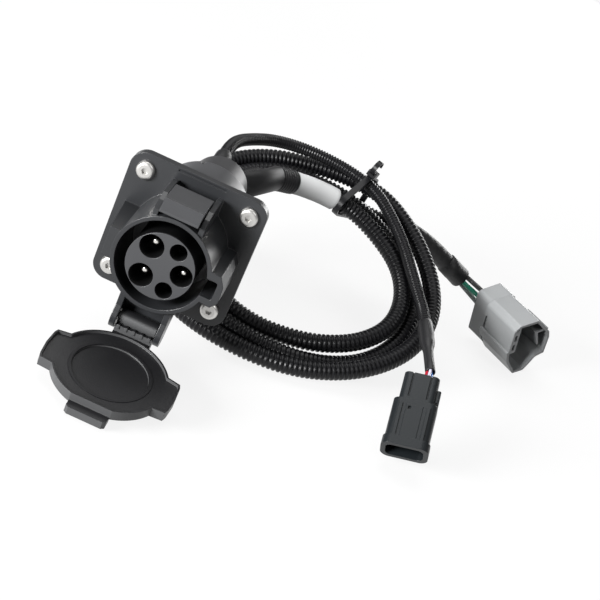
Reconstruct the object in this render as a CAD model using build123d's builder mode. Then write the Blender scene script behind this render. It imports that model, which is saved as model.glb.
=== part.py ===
from build123d import *
import os
from math import radians, tan, sin, cos, pi

os.makedirs("parts", exist_ok=True)

# Lengths in millimetres. The origin is the centre of the flange's mounting face.
# X is to the right seen from the front, Z is up, the socket opens towards -Y.

# flange and barrel
flange_side = 71.0
flange_thick = 5.0
flange_corner = 8.0
screw_half = 27.0
screw_hole_r = 2.8
screw_r = 2.5
screw_neck_r = 2.75
screw_reach = 7.0
screw_head_r = 4.75
screw_head_high = 2.6
barrel_r = 24.5
barrel_front = 38.0
barrel_wall = 2.1
bore_floor = 6.0
seat_gap = 0.05
key_depth = 28.0
key_wide = 9.4
catch_deep = 10.0

# contacts and the two pieces that hold them
core_r = 16.8
core_front = 39.0
shoulder_r = 20.5
shoulder_thick = 3.0
retainer_tail = 12.0
large_pins = [(-6.9, 7.9), (-6.9, -7.9)]
ground_at = (10.9, 0.0)
small_pins = [(5.7, 10.5), (5.7, -10.5)]
large_well_r = 6.0
ground_well_r = 5.5
small_well_r = 4.25
pin_barrel_wall = 1.0
pin_shoulder = 9.0
pin_tail = 9.0
large_pin_r = 1.8
ground_pin_r = 1.4
small_pin_r = 0.8
large_pin_tip = 33.0
ground_pin_tip = 35.0
small_pin_tip = 29.0

# rear of the inlet
rear_r = 25.2
rear_wall = 2.5
rear_length = 44.0
cap_r = 15.2
cap_wall = 3.0
cap_length = 16.0
cap_at = (1.7, 9.4)
power_exit = (9.5, 10.0)
signal_exit = (-3.0, 15.0)

# cover, drawn open: hinge, rim and lid
hinge_back = 5.55
hinge_below = 10.6
hinge_r = 3.9
hinge_half = 9.7
hinge_ear_in = 10.2
hinge_ear_thick = 2.8
hinge_ear_r = 6.8
hinge_pin_r = 1.5
hinge_spring_r = 2.35
hinge_wire_r = 0.35
turn_gap = 0.05
lid_droop = 8.5
lid_overlap = 1.0
lid_over = 3.3
lid_thick = 5.0
lid_rim_wall = 1.0
lid_rim_deep = 1.3
lid_chord = 1.4
lid_ear = 4.2
gasket_out = 20.0
gasket_in = 18.7
gasket_deep = 1.2
gasket_proud = 0.3

# latch lever
lever_half = 9.8
lever_side_gap = 0.4
lever_ear_thick = 2.6
lever_pin_back = 15.0
lever_pin_above = 2.7
lever_pin_r = 1.2
lever_spring_r = 1.75
lever_wire_r = 0.3

# harness
power_r = 5.0
power_boot_wall = 2.0
label_wall = 1.4
tape_wall = 0.7
signal_r = 3.55
signal_boot_wall = 1.05
shrink_wall = 0.7
shrink_neck_r = 2.7
shrink_bore_r = 2.1
lead_r = 1.5
lead_spread = 5.4
fine_lead_r = 0.85
fine_lead_spread = 2.2
tie_wide = 3.6
tie_thick = 1.3
tie_slack = 0.9

# connectors
grey_length = 38.0
grey_rear_length = 13.0
grey_wall = 1.6
grey_mouth_deep = 20.0
holder_gap = 0.1
black_length = 42.5
black_rear_length = 18.0
black_wall = 2.0
black_mouth_deep = 17.0

# places that follow from the sizes above
bore_r = barrel_r - barrel_wall
hinge_y = -barrel_front + hinge_back
hinge_z = -barrel_r - hinge_below
lever_pin_y = -barrel_front + lever_pin_back
lever_pin_z = barrel_r + lever_pin_above
lever_ear_in = lever_half + lever_side_gap
lever_ear_out = lever_ear_in + lever_ear_thick
hinge_ear_out = hinge_ear_in + hinge_ear_thick
hinge_rise = hinge_back - lid_overlap
lid_r = barrel_r + lid_over
power_boot_r = power_r + power_boot_wall
label_r = power_r + label_wall
tape_r = power_r + tape_wall
signal_boot_r = signal_r + signal_boot_wall
shrink_r = signal_r + shrink_wall

front = Plane.XZ
lid_up = Vector(0, -sin(radians(lid_droop)), cos(radians(lid_droop)))
lid_back = Vector(0, cos(radians(lid_droop)), sin(radians(lid_droop)))
lid_centre = Vector(0, hinge_y, hinge_z) + lid_back * hinge_z - lid_up * hinge_rise
lid_plane = Plane(origin=lid_centre, x_dir=(1, 0, 0), z_dir=lid_up)
coil_plane = Plane(
    origin=(0, 27, -52.4),
    x_dir=(1, 0, 0),
    z_dir=(0, -sin(radians(22)), cos(radians(22))),
)

# Front housing: flange, barrel, keyway boss, latch block, lever ears and hinge ears
# are one moulding.
with BuildPart() as front_housing:
    with BuildSketch(front):
        RectangleRounded(flange_side, flange_side, flange_corner)
    extrude(amount=flange_thick)
    with BuildSketch(front):
        Circle(barrel_r)
    extrude(amount=barrel_front)
    # boss of the plug's keyway on the right
    with BuildSketch(front):
        with Locations((barrel_r, 0)):
            Polygon((-4, 8.4), (3.9, 7.6), (6.5, 2.8), (6.7, -5.6), (3.9, -9.2), (-4, -8.4), align=None)
    extrude(amount=barrel_front)
    # block the plug's own latch hooks on, on the left, slightly tapered
    with BuildSketch(front.offset(flange_thick - 0.5)):
        with Locations((-barrel_r, 0)):
            Polygon((5, 8), (-6.7, 8), (-6.7, -8), (5, -8), align=None)
    with BuildSketch(front.offset(barrel_front - 1)):
        with Locations((-barrel_r, 0)):
            Polygon((5, 7.6), (-3.8, 7.6), (-3.8, -7.6), (5, -7.6), align=None)
    loft()
    # ears that carry the latch lever, with a rounded front
    for side in (-1, 1):
        with BuildSketch(Plane.YZ.offset(side * (lever_ear_in + lever_ear_out) / 2)):
            with Locations((lever_pin_y, lever_pin_z)):
                Polygon(
                    (-lever_pin_y - 4.5, -8), (-lever_pin_y - 4.5, 1.8), (14, 3.4), (-4, 3.4),
                    (-9.5, 1.4), (-13.5, -2), (-13.5, -8), align=None,
                )
        extrude(amount=lever_ear_thick / 2, both=True)
    # ears that carry the cover, rounded about the pin
    for side in (-1, 1):
        with BuildSketch(Plane.YZ.offset(side * (hinge_ear_in + hinge_ear_out) / 2)):
            with Locations((hinge_y, hinge_z)):
                Polygon(
                    (-4.2, 17), (-4.2, 6.6), (-hinge_ear_r, 1), (hinge_ear_r, -1), (16.5, 12), (16.5, 17), align=None,
                )
                Circle(hinge_ear_r)
        extrude(amount=hinge_ear_thick / 2, both=True)
    # socket and the plug's keyway
    with BuildSketch(front.offset(bore_floor)):
        Circle(bore_r)
    extrude(amount=barrel_front, mode=Mode.SUBTRACT)
    with BuildSketch(front.offset(barrel_front - key_depth)):
        with Locations((barrel_r - 0.3, -0.7)):
            RectangleRounded(7.4, key_wide, 1.2)
        with Locations((barrel_r - 3.5, -0.7)):
            Rectangle(4, key_wide)
    extrude(amount=barrel_front, mode=Mode.SUBTRACT)
    # seats of the contact carrier and of its retainer, entered from the back
    with BuildSketch(front.offset(bore_floor + 1)):
        Circle(core_r + seat_gap)
    extrude(amount=-bore_floor - 2, mode=Mode.SUBTRACT)
    with BuildSketch(front.offset(shoulder_thick)):
        Circle(shoulder_r + seat_gap)
    extrude(amount=-shoulder_thick - 1, mode=Mode.SUBTRACT)
    # slot in the latch block
    with BuildSketch(front.offset(barrel_front - catch_deep)):
        with Locations((-barrel_r - 5.5, -6)):
            Rectangle(8, 6)
    extrude(amount=catch_deep - 2, mode=Mode.SUBTRACT)
    # screw holes
    with BuildSketch(front.offset(-1)):
        with GridLocations(2 * screw_half, 2 * screw_half, 2, 2):
            Circle(screw_hole_r)
    extrude(amount=flange_thick + 2, mode=Mode.SUBTRACT)
    # bores of the two cross pins, a press fit in the ears
    with BuildSketch(Plane.YZ.offset(-hinge_ear_out - 1)):
        with Locations((hinge_y, hinge_z)):
            Circle(hinge_pin_r)
    extrude(amount=2 * hinge_ear_out + 2, mode=Mode.SUBTRACT)
    with BuildSketch(Plane.YZ.offset(-lever_ear_out - 1)):
        with Locations((lever_pin_y, lever_pin_z)):
            Circle(lever_pin_r)
    extrude(amount=2 * lever_ear_out + 2, mode=Mode.SUBTRACT)
    # shallow line moulded along the flange's upper edge
    with BuildSketch(front.offset(flange_thick - 0.5)):
        with Locations((0, flange_side / 2 - 1.6)):
            Rectangle(24.5, 0.9)
    extrude(amount=1, mode=Mode.SUBTRACT)
front_housing.part.label = "front_housing"
export_step(front_housing.part, "parts/front_housing.step")

# Contact carrier: one moulded core with a well round each contact.
with BuildPart() as contact_carrier:
    with BuildSketch(front.offset(shoulder_thick)):
        Circle(core_r)
    extrude(amount=core_front - shoulder_thick)
    with BuildSketch(front.offset(shoulder_thick)):
        with Locations(*large_pins):
            Circle(large_well_r)
        with Locations(ground_at):
            Circle(ground_well_r)
        with Locations(*small_pins):
            Circle(small_well_r)
    extrude(amount=core_front, mode=Mode.SUBTRACT)
contact_carrier.part.label = "contact_carrier"
export_step(contact_carrier.part, "parts/contact_carrier.step")

# Contact retainer: shouldered disc pressed in behind the carrier, it grips the contacts.
with BuildPart() as contact_retainer:
    with BuildSketch(front):
        Circle(shoulder_r)
    extrude(amount=shoulder_thick)
    with BuildSketch(front):
        Circle(core_r)
    extrude(amount=-retainer_tail)
    with BuildSketch(front.offset(-retainer_tail - 1)):
        with Locations(*large_pins):
            Circle(large_pin_r + pin_barrel_wall)
        with Locations(ground_at):
            Circle(ground_pin_r + pin_barrel_wall)
        with Locations(*small_pins):
            Circle(small_pin_r + pin_barrel_wall)
    extrude(amount=retainer_tail + shoulder_thick + 2, mode=Mode.SUBTRACT)
contact_retainer.part.label = "contact_retainer"
export_step(contact_retainer.part, "parts/contact_retainer.step")


def contact(r, tip):
    # turned pin: barrel gripped by the retainer, slim rounded nose, hollow crimp tail
    barrel = r + pin_barrel_wall
    with BuildPart() as turned:
        with BuildSketch(front.offset(-retainer_tail - pin_tail)):
            Circle(barrel)
        extrude(amount=retainer_tail + pin_tail + pin_shoulder)
        with BuildSketch(front.offset(pin_shoulder)):
            Circle(r)
        extrude(amount=tip - pin_shoulder)
        fillet(turned.faces().sort_by(Axis.Y)[0].edges(), radius=r * 0.7)
        with BuildSketch(front.offset(-retainer_tail - pin_tail - 1)):
            Circle(barrel * 0.62)
        extrude(amount=pin_tail - 2, mode=Mode.SUBTRACT)
    return turned.part


large_contact = contact(large_pin_r, large_pin_tip)
ground_contact = contact(ground_pin_r, ground_pin_tip)
small_contact = contact(small_pin_r, small_pin_tip)

line_pin = Pos(large_pins[0][0], 0, large_pins[0][1]) * large_contact
line_pin.label = "line_pin"
export_step(line_pin, "parts/line_pin.step")
neutral_pin = Pos(large_pins[1][0], 0, large_pins[1][1]) * large_contact
neutral_pin.label = "neutral_pin"
export_step(neutral_pin, "parts/neutral_pin.step")
ground_pin = Pos(ground_at[0], 0, ground_at[1]) * ground_contact
ground_pin.label = "ground_pin"
export_step(ground_pin, "parts/ground_pin.step")
pilot_pin = Pos(small_pins[0][0], 0, small_pins[0][1]) * small_contact
pilot_pin.label = "pilot_pin"
export_step(pilot_pin, "parts/pilot_pin.step")
proximity_pin = Pos(small_pins[1][0], 0, small_pins[1][1]) * small_contact
proximity_pin.label = "proximity_pin"
export_step(proximity_pin, "parts/proximity_pin.step")

# Rear housing: a cup open to the front, held against the flange's back.
with BuildPart() as rear_housing:
    with BuildSketch(front):
        Circle(rear_r)
    extrude(amount=-rear_length)
    fillet(rear_housing.faces().sort_by(Axis.Y)[-1].edges(), radius=0.8)
    with BuildSketch(front):
        Circle(rear_r - rear_wall)
    extrude(amount=-rear_length + rear_wall, mode=Mode.SUBTRACT)
    with BuildSketch(front.offset(-rear_length - 1)):
        with Locations(cap_at):
            Circle(cap_r - cap_wall)
    extrude(amount=rear_wall + 2, mode=Mode.SUBTRACT)
    # notch that shows which way up the cup goes
    with BuildSketch(front.offset(-rear_length - 1)):
        with Locations((-8, rear_r - 1.2)):
            Rectangle(1.8, 2.4)
    extrude(amount=6, mode=Mode.SUBTRACT)
rear_housing.part.label = "rear_housing"
export_step(rear_housing.part, "parts/rear_housing.step")

# Rear cap: closes the cup and holds the two rubber boots.
with BuildPart() as rear_cap:
    with BuildSketch(front.offset(-rear_length)):
        with Locations(cap_at):
            Circle(cap_r)
    extrude(amount=-cap_length)
    fillet(rear_cap.faces().sort_by(Axis.Y)[-1].edges(), radius=0.6)
    with BuildSketch(front.offset(-rear_length)):
        with Locations(cap_at):
            Circle(cap_r - cap_wall)
    extrude(amount=-cap_length + cap_wall, mode=Mode.SUBTRACT)
    with BuildSketch(front.offset(-rear_length - cap_length - 1)):
        with Locations(power_exit):
            Circle(power_r)
        with Locations(signal_exit):
            Circle(signal_r)
    extrude(amount=cap_wall + 2, mode=Mode.SUBTRACT)
rear_cap.part.label = "rear_cap"
export_step(rear_cap.part, "parts/rear_cap.step")

# Mounting screws: four button heads with a hexagon recess.
with BuildPart() as mounting_screws:
    # plain neck that fills the flange's hole, threaded end behind it
    with BuildSketch(front):
        with GridLocations(2 * screw_half, 2 * screw_half, 2, 2):
            Circle(screw_neck_r)
    extrude(amount=flange_thick)
    with BuildSketch(front):
        with GridLocations(2 * screw_half, 2 * screw_half, 2, 2):
            Circle(screw_r)
    extrude(amount=-screw_reach)
    with BuildSketch(front.offset(flange_thick)):
        with GridLocations(2 * screw_half, 2 * screw_half, 2, 2):
            Circle(screw_head_r)
    extrude(amount=screw_head_high)
    screw_tops = mounting_screws.faces().filter_by(Axis.Y).group_by(Axis.Y)[0]
    fillet(screw_tops.edges(), radius=1.7)
    with BuildSketch(front.offset(flange_thick + screw_head_high + 0.2)):
        with GridLocations(2 * screw_half, 2 * screw_half, 2, 2):
            RegularPolygon(1.73, 6)
    extrude(amount=-1.8, mode=Mode.SUBTRACT)
mounting_screws.part.label = "mounting_screws"
export_step(mounting_screws.part, "parts/mounting_screws.step")

# Cover, drawn open: lid with two side ears that close over the keyway boss and the
# latch block, a rim all round, a seal seat, a finger tab and the hinge arm.
with BuildSketch() as lid_outline:
    Circle(lid_r)
    for side in (-1, 1):
        with Locations((side * lid_r, 0)):
            Polygon(
                (-side * 4, 12.6), (side * (lid_ear - 0.8), 11), (side * lid_ear, 8.5), (side * (lid_ear + 0.6), -0.4),
                (side * lid_ear, -9), (side * (lid_ear - 0.8), -11.9), (-side * 4, -12.6), align=None,
            )
# straight edge under the latch lever's nose
with BuildSketch() as lid_upper:
    add(lid_outline.sketch)
    with Locations((0, -barrel_r - lid_chord - 5)):
        Rectangle(2 * lever_ear_in, 10, mode=Mode.SUBTRACT)
with BuildSketch() as lid_dish:
    add(lid_upper.sketch)
    offset(amount=-lid_rim_wall, mode=Mode.REPLACE)
with BuildPart() as cover:
    with BuildSketch(lid_plane.offset(-lid_thick)):
        add(lid_outline.sketch)
    extrude(amount=1)
    with BuildSketch(lid_plane.offset(-lid_thick + 1)):
        add(lid_upper.sketch)
    extrude(amount=lid_thick - 1)
    # finger tab, opposite the hinge
    with BuildSketch(lid_plane.offset(-lid_thick - 3)):
        with Locations((0, -lid_r)):
            Polygon((-9.9, 3.3), (-9.9, -1.8), (-8.4, -3), (8.4, -3), (9.9, -1.8), (9.9, 3.3), align=None)
    extrude(amount=4)
    # hinge arm with its knuckle
    with BuildSketch(Plane.YZ.offset(-hinge_half)):
        with Locations((hinge_y, hinge_z)):
            Circle(hinge_r)
    extrude(amount=2 * hinge_half)
    with BuildSketch(lid_plane.offset(-lid_thick)):
        with Locations((0, lid_r + 0.7)):
            Rectangle(2 * hinge_half, 10)
    extrude(amount=3.6)
    with BuildSketch(lid_plane.offset(-lid_thick + 0.8)):
        with Locations((0, lid_r + 4.2)):
            Rectangle(2 * hinge_half, 4.4)
    extrude(amount=6.4)
    # dished inner side inside the rim, the seal's seat and the panel inside it
    with BuildSketch(lid_plane.offset(-lid_rim_deep)):
        add(lid_dish.sketch)
    extrude(amount=lid_rim_deep + 1, mode=Mode.SUBTRACT)
    with BuildSketch(lid_plane.offset(-lid_rim_deep - gasket_deep)):
        Circle(gasket_out)
        Circle(gasket_in, mode=Mode.SUBTRACT)
    extrude(amount=gasket_deep + 0.1, mode=Mode.SUBTRACT)
    with BuildSketch(lid_plane.offset(-lid_rim_deep - 0.7)):
        Circle(gasket_in - 0.4)
    extrude(amount=0.8, mode=Mode.SUBTRACT)
    # bore for the pin, and the wider bore that the spring sits in
    with BuildSketch(Plane.YZ.offset(-hinge_half - 1)):
        with Locations((hinge_y, hinge_z)):
            Circle(hinge_pin_r + turn_gap)
    extrude(amount=2 * hinge_half + 2, mode=Mode.SUBTRACT)
    with BuildSketch(Plane.YZ.offset(-hinge_half - 1)):
        with Locations((hinge_y, hinge_z)):
            Circle(hinge_spring_r + hinge_wire_r + 0.3)
    extrude(amount=8, mode=Mode.SUBTRACT)
    # five ribs between the lid and the knuckle
    with BuildSketch(lid_plane.offset(-lid_thick + 5.5)):
        with Locations(*[(-8 + 4 * i, lid_r + 3.4) for i in range(5)]):
            Rectangle(1.4, 3.6)
    extrude(amount=2.4)
cover.part.label = "cover"
export_step(cover.part, "parts/cover.step")

# Cover gasket: a flat rubber ring pressed into its groove.
with BuildPart() as cover_gasket:
    with BuildSketch(lid_plane.offset(-lid_rim_deep - gasket_deep)):
        Circle(gasket_out)
        Circle(gasket_in, mode=Mode.SUBTRACT)
    extrude(amount=gasket_deep + gasket_proud)
cover_gasket.part.label = "cover_gasket"
export_step(cover_gasket.part, "parts/cover_gasket.step")

# Hinge pin: steel, pressed into the ears.
with BuildPart() as hinge_pin:
    with BuildSketch(Plane.YZ.offset(-hinge_ear_out)):
        with Locations((hinge_y, hinge_z)):
            Circle(hinge_pin_r)
    extrude(amount=2 * hinge_ear_out)
hinge_pin.part.label = "hinge_pin"
export_step(hinge_pin.part, "parts/hinge_pin.step")

# Hinge spring: wire wound round the pin inside one end of the knuckle.
with BuildPart() as hinge_spring:
    with BuildLine() as hinge_coil:
        Helix(
            pitch=0.95, height=5.2, radius=hinge_spring_r,
            center=(-hinge_half + 0.5, hinge_y, hinge_z), direction=(1, 0, 0),
        )
    with BuildSketch(Plane(origin=hinge_coil.line @ 0, z_dir=hinge_coil.line % 0)):
        Circle(hinge_wire_r)
    sweep(is_frenet=True)
hinge_spring.part.label = "hinge_spring"
export_step(hinge_spring.part, "parts/hinge_spring.step")

# Latch lever: a rocker with a flat top, a sloped thumb pad and a nose over the cover.
with BuildPart() as latch_lever:
    with BuildSketch(Plane.YZ.offset(-lever_half)):
        with Locations((lever_pin_y, lever_pin_z)):
            Polygon(
                (13.4, 1.2), (7.4, 1.7), (7, 4.4), (-12.4, 4.4), (-17.3, 0.2), (-17.3, -1), (-15.6, -1),
                (-13.9, 1.0), (-11.5, 0.8), (-5, 0.6), (-3.2, -1.6), (3, -1.6), (5, -0.4), (13.4, -0.2), align=None,
            )
    extrude(amount=2 * lever_half)
    # crease line between the top and the pad
    with BuildSketch(Plane.YZ.offset(-lever_half)):
        with Locations((lever_pin_y - 11.6, lever_pin_z + 4.4)):
            Rectangle(0.6, 0.8)
    extrude(amount=2 * lever_half, mode=Mode.SUBTRACT)
    with BuildSketch(Plane.YZ.offset(-lever_half - 1)):
        with Locations((lever_pin_y, lever_pin_z)):
            Circle(lever_pin_r + turn_gap)
    extrude(amount=2 * lever_half + 2, mode=Mode.SUBTRACT)
    # gap for the spring
    with BuildSketch(Plane.YZ.offset(-3.2)):
        with Locations((lever_pin_y, lever_pin_z - 0.4)):
            Rectangle(6.4, 5.6)
    extrude(amount=6.4, mode=Mode.SUBTRACT)
latch_lever.part.label = "latch_lever"
export_step(latch_lever.part, "parts/latch_lever.step")

# Latch pin: steel, pressed into the ears.
with BuildPart() as latch_pin:
    with BuildSketch(Plane.YZ.offset(-lever_ear_out)):
        with Locations((lever_pin_y, lever_pin_z)):
            Circle(lever_pin_r)
    extrude(amount=2 * lever_ear_out)
latch_pin.part.label = "latch_pin"
export_step(latch_pin.part, "parts/latch_pin.step")

# Latch spring: wire wound round the latch pin.
with BuildPart() as latch_spring:
    with BuildLine() as latch_coil:
        Helix(
            pitch=0.95, height=4.8, radius=lever_spring_r,
            center=(-2.4, lever_pin_y, lever_pin_z), direction=(1, 0, 0),
        )
    with BuildSketch(Plane(origin=latch_coil.line @ 0, z_dir=latch_coil.line % 0)):
        Circle(lever_wire_r)
    sweep(is_frenet=True)
latch_spring.part.label = "latch_spring"
export_step(latch_spring.part, "parts/latch_spring.step")

# Routes. Points on the coil's leaning plane are given as x, distance up the lean, height.
power_start = [(9.5, 60, 10), (9.5, 78, 10), (19, 99, 8.5), (42, 121.5, 5), (68, 136.5, -1.5)]
power_coil = [
    (90, 114.5, 1), (108.5, 99.5, 0), (118, 78, 0), (117.5, 54, 0), (105.5, 34.5, 0), (87, 21.5, 0),
    (67, 15.5, 0), (46.5, 14.5, 0), (27, 20.5, 0), (9, 33.5, 0), (-3.5, 55, 0), (-7.5, 79, 0),
    (-4.5, 99, 0), (5, 116, 0), (20, 127.5, 0), (39, 134.5, -1), (60, 136, -2.5), (80, 131.5, -4.5),
    (97.5, 121.5, -6), (113.5, 107.5, -7.5), (123.5, 90, -7.5), (127.5, 69, -7.5), (123, 47, -8),
    (111, 29, -8.5), (94, 16, -7.5), (73, 5.5, -2.5), (48, 3.5, 0), (23, 9.5, 0), (2, 24.5, 0),
    (-13, 48, 0), (-18.5, 76, 0), (-15, 101, 0), (-4, 122, 0), (15, 138, 0), (38, 146, 0), (62, 147, 2.5),
    (84, 142.5, 5), (104, 129, 4), (120.5, 112, 2), (132.5, 91, 0), (136.5, 69, 0), (132.5, 46, 0),
    (120, 25.5, 0), (102, 9.5, 0), (79, -2.5, 1.2), (54, -7.5, 3.1), (27, -4, 1.6), (2, 8.5, -3.5),
    (-12, 31, -10.4), (-17, 58, -10.6), (-16, 86, -10.6), (-9.5, 109, -10.6), (4, 127, -10.6),
    (23, 139, -10.4), (45, 143, -10.8), (67, 142.5, -12), (88, 139, -12),
]
power_end = [(112, 161, -8), (133.5, 167.5, -19.5)]
signal_start = [
    (-3, 60, 15), (-3, 73, 15), (-3.6, 90, 17.5), (-2.4, 107.5, 17.2), (4, 125, 15.5),
    (14, 140.5, 14.5), (29, 150.5, 13.6), (46, 154, 13),
]
signal_coil = [
    (64, 140, 13), (80, 134, 13), (94, 122.5, 10), (106, 108, 8.5), (115, 92, 8.4), (123, 77.5, 8.5), (131, 63, 9),
]
signal_end = [(135, 62, -21.7)]


def laid(start, coil, end):
    return (
        [Vector(*point) for point in start]
        + [coil_plane.from_local_coords(Vector(*point)) for point in coil]
        + [Vector(*point) for point in end]
    )


def bends(points):
    radii = []
    for before, here, after in zip(points, points[1:], points[2:]):
        arriving = here - before
        leaving = after - here
        half_turn = radians(arriving.get_angle(leaving)) / 2
        radii.append(0.45 * min(arriving.length, leaving.length) / tan(half_turn))
    return radii


def section(line):
    return Plane(origin=line @ 0, z_dir=line % 0)


def report(name, tube, line, r):
    length = sum(edge.length for edge in line.edges())
    share = tube.volume / (pi * r**2 * length)
    print(name, "length", round(length, 1), "volume against section times length", round(share, 4))


power_route = laid(power_start, power_coil, power_end)
power_bends = bends(power_route)
signal_route = laid(signal_start, signal_coil, signal_end)
signal_bends = bends(signal_route)
print("power bend radii", [round(r) for r in power_bends])
print("signal bend radii", [round(r) for r in signal_bends])

# Power conduit: coiled three times.
with BuildPart() as power_conduit:
    with BuildLine() as power_line:
        FilletPolyline(*power_route, radius=power_bends)
    with BuildSketch(section(power_line.line)):
        Circle(power_r)
    sweep()
power_conduit.part.label = "power_conduit"
export_step(power_conduit.part, "parts/power_conduit.step")
report("power conduit", power_conduit.part, power_line.line, power_r)

# Signal conduit: half a turn, over the top of the coil.
with BuildPart() as signal_conduit:
    with BuildLine() as signal_line:
        FilletPolyline(*signal_route, radius=signal_bends)
    with BuildSketch(section(signal_line.line)):
        Circle(signal_r)
    sweep()
signal_conduit.part.label = "signal_conduit"
export_step(signal_conduit.part, "parts/signal_conduit.step")
report("signal conduit", signal_conduit.part, signal_line.line, signal_r)

# Power boot: rubber sleeve from the cap to the label.
boot_end = (power_route[2] + power_route[3]) * 0.5
with BuildPart() as power_boot:
    with BuildLine() as power_boot_line:
        FilletPolyline(*power_route[:3], boot_end, radius=power_bends[:2])
    with BuildSketch(section(power_boot_line.line)):
        Circle(power_boot_r)
        Circle(power_r, mode=Mode.SUBTRACT)
    sweep()
power_boot.part.label = "power_boot"
export_step(power_boot.part, "parts/power_boot.step")

# Label sleeve: plain white tube on the power conduit.
with BuildPart() as label_sleeve:
    with BuildLine() as label_line:
        FilletPolyline(boot_end, power_route[3], (power_route[3] + power_route[4]) * 0.5, radius=power_bends[2:3])
    with BuildSketch(section(label_line.line)):
        Circle(label_r)
        Circle(power_r, mode=Mode.SUBTRACT)
    sweep()
label_sleeve.part.label = "label_sleeve"
export_step(label_sleeve.part, "parts/label_sleeve.step")

# Signal boot: rubber sleeve from the cap.
with BuildPart() as signal_boot:
    with BuildLine() as signal_boot_line:
        FilletPolyline(signal_route[0], signal_route[1], (signal_route[1] + signal_route[2]) * 0.5, radius=signal_bends[:1])
    with BuildSketch(section(signal_boot_line.line)):
        Circle(signal_boot_r)
        Circle(signal_r, mode=Mode.SUBTRACT)
    sweep()
signal_boot.part.label = "signal_boot"
export_step(signal_boot.part, "parts/signal_boot.step")

# Tape sleeve: wound over the end of the power conduit and the start of its leads.
tape_turn = power_route[-2]
tape_dir = (power_route[-1] - tape_turn).normalized()
tape_start = (power_route[-3] + tape_turn) * 0.5
tape_end = power_route[-1] + tape_dir * 18
with BuildPart() as power_tape:
    with BuildLine() as tape_line:
        FilletPolyline(tape_start, tape_turn, tape_end, radius=power_bends[-1:])
    with BuildSketch(section(tape_line.line)):
        Circle(tape_r)
        Circle(power_r, mode=Mode.SUBTRACT)
    sweep()
    # second wrap over the last part
    with BuildSketch(Plane(origin=tape_end - tape_dir * 15, z_dir=tape_dir)):
        Circle(tape_r + tape_wall)
        Circle(power_r, mode=Mode.SUBTRACT)
    extrude(amount=15)
power_tape.part.label = "power_tape"
export_step(power_tape.part, "parts/power_tape.step")

# Heat-shrink sleeve on the signal conduit, shrunk down to a neck on its leads.
shrink_dir = (signal_route[-1] - signal_route[-2]).normalized()
shrink_start = signal_route[-1] - shrink_dir * 12
shrink_end = shrink_start + shrink_dir * 47
with BuildPart() as signal_sleeve:
    with BuildSketch(Plane(origin=shrink_start, z_dir=shrink_dir)):
        Circle(shrink_r)
    extrude(amount=20)
    with BuildSketch(Plane(origin=shrink_start + shrink_dir * 20, z_dir=shrink_dir)):
        Circle(shrink_r)
    with BuildSketch(Plane(origin=shrink_start + shrink_dir * 27, z_dir=shrink_dir)):
        Circle(shrink_neck_r)
    loft()
    with BuildSketch(Plane(origin=shrink_end, z_dir=shrink_dir)):
        Circle(shrink_neck_r)
    extrude(amount=-20)
    with BuildSketch(Plane(origin=shrink_start, z_dir=shrink_dir)):
        Circle(signal_r)
    extrude(amount=12, mode=Mode.SUBTRACT)
    with BuildSketch(Plane(origin=shrink_start, z_dir=shrink_dir)):
        Circle(shrink_bore_r)
    extrude(amount=47, mode=Mode.SUBTRACT)
signal_sleeve.part.label = "signal_sleeve"
export_step(signal_sleeve.part, "parts/signal_sleeve.step")

# Cable tie: one strap round the bundle of conduits, its head on top and a curled tail.
tie_plane = Plane(origin=(71, 150, 2), x_dir=(0.29, 0.955, 0), z_dir=(0.94, -0.285, -0.19))


def crossings(line, r):
    places = []
    for edge in line.edges():
        near = tie_plane.to_local_coords(edge @ 0)
        far = tie_plane.to_local_coords(edge @ 1)
        if near.Z * far.Z <= 0 and near.length < 45:
            share = near.Z / (near.Z - far.Z)
            through = tie_plane.to_local_coords(edge @ share)
            lean = Vector(far.X - near.X, far.Y - near.Y) / abs(far.Z - near.Z)
            shift = lean * (tie_wide / 2 + r * lean.length / 2)
            places.append((through.X - shift.X, through.Y - shift.Y, r))
            places.append((through.X + shift.X, through.Y + shift.Y, r))
    return places


tie_round = crossings(power_line.line, power_r) + crossings(signal_line.line, signal_r)
with BuildSketch() as tie_inner:
    for x, y, r in tie_round:
        with Locations((x, y)):
            Circle(r + tie_slack)
    make_hull()
with BuildSketch() as tie_outer:
    for x, y, r in tie_round:
        with Locations((x, y)):
            Circle(r + tie_slack + tie_thick)
    make_hull()
    add(tie_inner.sketch, mode=Mode.SUBTRACT)
tie_top = max(y + r for x, y, r in tie_round) + tie_slack + tie_thick
tie_top_x = max(tie_round, key=lambda place: place[1] + place[2])[0]
with BuildPart() as cable_tie:
    with BuildSketch(tie_plane.offset(-tie_wide / 2)):
        add(tie_outer.sketch)
    extrude(amount=tie_wide)
    with BuildSketch(tie_plane.offset(-tie_wide / 2 - 1)):
        with Locations((tie_top_x, tie_top + 1.4)):
            RectangleRounded(5.6, 3.6, 0.6)
    extrude(amount=tie_wide + 2)
    # tail, curled over in front of the head
    with BuildSketch(tie_plane.offset(-tie_wide / 2 + 0.4)):
        with Locations((tie_top_x - 1, tie_top + 6)):
            Circle(4.6)
            Circle(3.6, mode=Mode.SUBTRACT)
        with Locations((tie_top_x + 3.2, tie_top + 3)):
            Rectangle(6, 6, mode=Mode.SUBTRACT)
    extrude(amount=tie_wide - 0.8)
cable_tie.part.label = "cable_tie"
export_step(cable_tie.part, "parts/cable_tie.step")

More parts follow.
